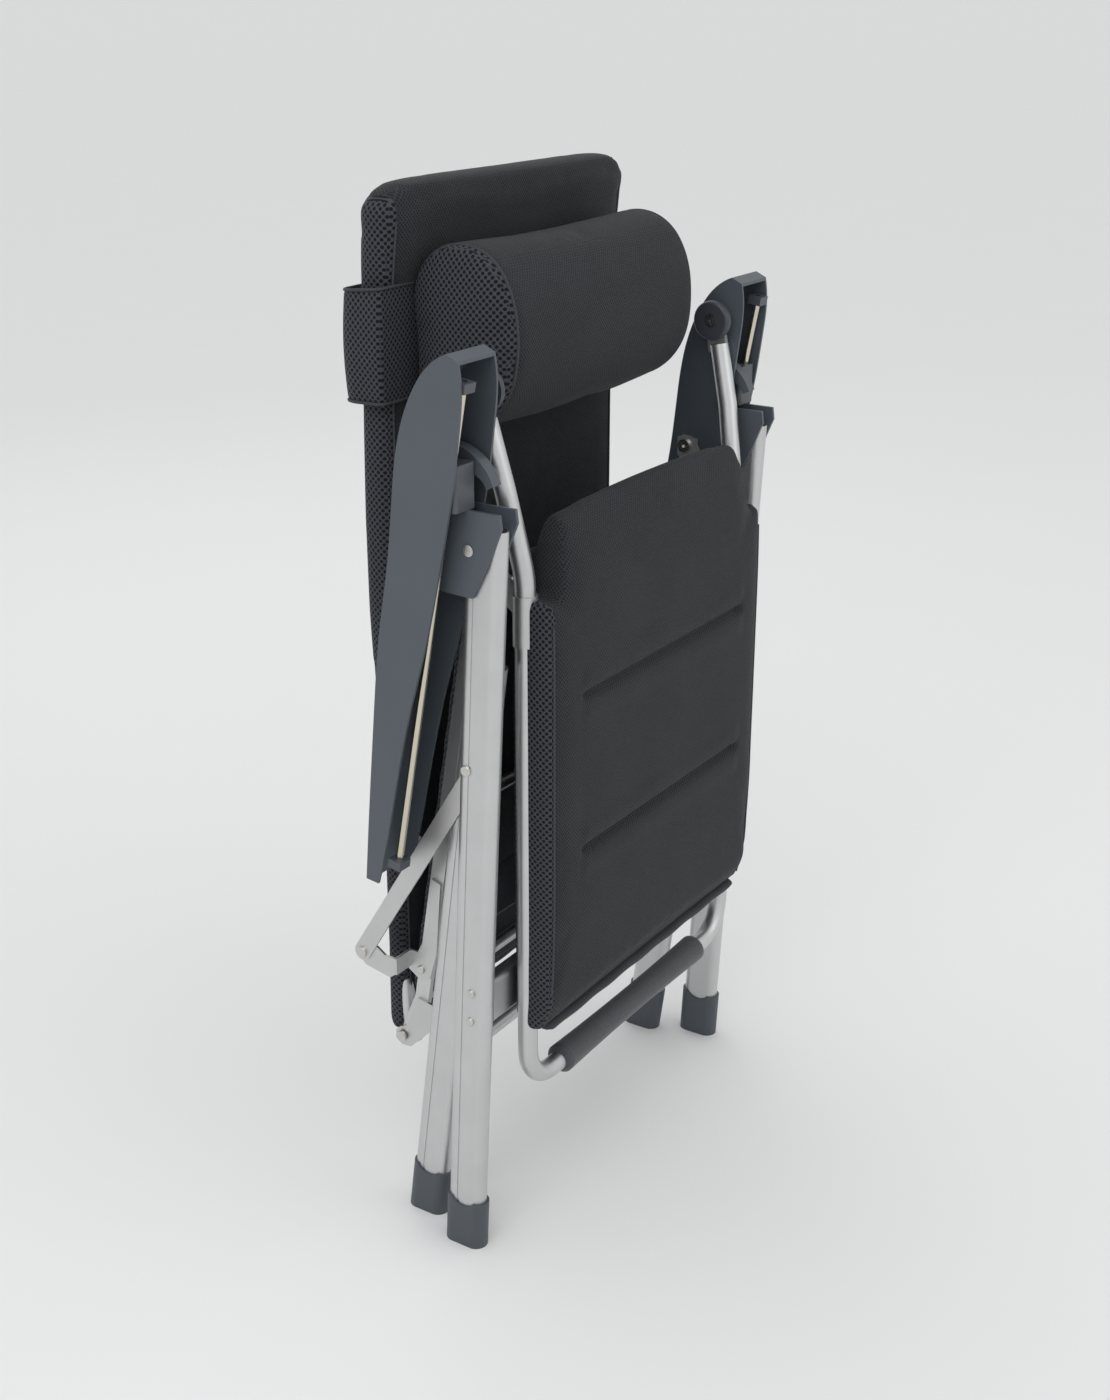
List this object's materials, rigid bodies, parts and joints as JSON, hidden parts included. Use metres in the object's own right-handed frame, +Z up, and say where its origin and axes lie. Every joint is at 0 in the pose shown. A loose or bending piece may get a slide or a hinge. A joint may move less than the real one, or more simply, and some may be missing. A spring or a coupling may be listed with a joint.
{
  "type": "folding camp chair",
  "caption": "Folding recliner camp chair with padded mesh back, head pillow and footrest, stored folded; unfolds as one coupled linkage.",
  "frame": {"origin": "on the floor, under the middle of the folded chair's box", "axes": "+Z up, the sitter faces -Y, -X is the sitter's right"},
  "size_m": [0.624, 0.261, 1.165],
  "materials": {
    "aluminium": "satin anodised",
    "steel": "bright zinc",
    "slate_plastic": "fine moulded grain",
    "dark_plastic": "moulded",
    "mesh_fabric": "spacer mesh",
    "foam": "closed-cell foam"
  },
  "bodies": {
    "outer_frame": {"outer_leg_right": "aluminium", "outer_leg_left": "aluminium", "outer_foot_caps": "dark_plastic", "outer_stretcher": "aluminium", "stretcher_screws": "steel", "crossing_rivets": "steel"},
    "inner_frame": {"inner_leg_right": "aluminium", "inner_leg_left": "aluminium", "inner_foot_caps": "dark_plastic", "inner_flat_stretcher": "slate_plastic", "inner_round_stretcher": "aluminium"},
    "seat": {"seat_rail_right": "aluminium", "seat_rail_left": "aluminium", "carrier_bar_right": "aluminium", "carrier_bar_left": "aluminium", "bent_bracket_right": "aluminium", "bent_bracket_left": "aluminium", "rear_hinge_bracket_right": "aluminium", "rear_hinge_bracket_left": "aluminium", "seat_cross_tubes": "aluminium", "seat_pad": "mesh_fabric", "bracket_rivets": "steel", "bracket_screws": "steel"},
    "backrest": {"back_frame": "aluminium", "back_pad": "mesh_fabric", "armrest_lugs": "aluminium", "rear_hinge_rivets": "steel"},
    "headrest": {"head_pillow": "mesh_fabric", "head_band": "mesh_fabric"},
    "footrest": {"footrest_frame": "aluminium", "footrest_pad": "mesh_fabric", "foam_grip": "foam", "clamp_plates": "aluminium", "front_hinge_screws": "steel", "pivot_discs": "dark_plastic", "disc_screws": "steel"},
    "hood_right": {"leg_hood_right": "slate_plastic", "hood_screw_right": "steel", "rod_clamp_right": "dark_plastic", "lever_pin_right": "steel"},
    "lever_right": {"release_lever_right": "dark_plastic"},
    "arm_right": {"armrest_right": "slate_plastic", "armrest_rod_right": "steel", "rod_supports_right": "dark_plastic", "armrest_pin_right": "steel"},
    "hood_left": {"leg_hood_left": "slate_plastic", "hood_screw_left": "steel", "rod_clamp_left": "dark_plastic", "lever_pin_left": "steel"},
    "lever_left": {"release_lever_left": "dark_plastic"},
    "arm_left": {"armrest_left": "slate_plastic", "armrest_rod_left": "steel", "rod_supports_left": "dark_plastic", "armrest_pin_left": "steel"}
  },
  "joints": [
    {"name": "leg_fold", "type": "hinge", "parent": "outer_frame", "child": "inner_frame", "pos_m": [0, -0.0543, 0.594], "axis": [1, 0, 0], "range_deg": [0, 75]},
    {"name": "seat_fold", "type": "hinge", "parent": "outer_frame", "child": "seat", "pos_m": [0, -0.0543, 0.594], "axis": [1, 0, 0], "range_deg": [0, 114.05]},
    {"name": "back_fold", "type": "hinge", "parent": "seat", "child": "backrest", "pos_m": [0, 0.0807, 0.21], "axis": [-1, 0, 0], "range_deg": [0, 80.23]},
    {"name": "footrest_fold", "type": "hinge", "parent": "seat", "child": "footrest", "pos_m": [0, -0.0223, 0.829], "axis": [-1, 0, 0], "range_deg": [0, 127.17]},
    {"name": "hood_turn_right", "type": "hinge", "parent": "outer_frame", "child": "hood_right", "pos_m": [-0.273, -0.0663, 0.832], "axis": [1, 0, 0], "range_deg": [0, 126.85]},
    {"name": "armrest_slide_right", "type": "slide", "parent": "hood_right", "child": "arm_right", "axis": [0, -0.18, 0.9837], "range_m": [0, 0.1124]},
    {"name": "lever_right_release", "type": "hinge", "parent": "hood_right", "child": "lever_right", "pos_m": [-0.265, -0.0363, 0.912], "axis": [-1, 0, 0], "range_deg": [0, 18], "stiffness_Nm_per_rad": 0.3, "springref_deg": -5.73},
    {"name": "hood_turn_left", "type": "hinge", "parent": "outer_frame", "child": "hood_left", "pos_m": [0.273, -0.0663, 0.832], "axis": [1, 0, 0], "range_deg": [0, 126.85]},
    {"name": "armrest_slide_left", "type": "slide", "parent": "hood_left", "child": "arm_left", "axis": [0, -0.18, 0.9837], "range_m": [0, 0.1124]},
    {"name": "lever_left_release", "type": "hinge", "parent": "hood_left", "child": "lever_left", "pos_m": [0.265, -0.0363, 0.912], "axis": [-1, 0, 0], "range_deg": [0, 18], "stiffness_Nm_per_rad": 0.3, "springref_deg": -5.73},
    {"name": "headrest_slide", "type": "slide", "parent": "backrest", "child": "headrest", "axis": [0, 0, -1], "range_m": [0, 0.08]}
  ],
  "couplings": [
    {"joint": "seat_fold", "follows": "leg_fold", "ratio": 1.52},
    {"joint": "back_fold", "follows": "leg_fold", "ratio": 1.0691},
    {"joint": "footrest_fold", "follows": "leg_fold", "ratio": 1.695},
    {"joint": "hood_turn_right", "follows": "leg_fold", "ratio": 1.6906},
    {"joint": "armrest_slide_right", "follows": "leg_fold", "m_per_rad": 0.085793},
    {"joint": "hood_turn_left", "follows": "leg_fold", "ratio": 1.6906},
    {"joint": "armrest_slide_left", "follows": "leg_fold", "m_per_rad": 0.085793}
  ]
}
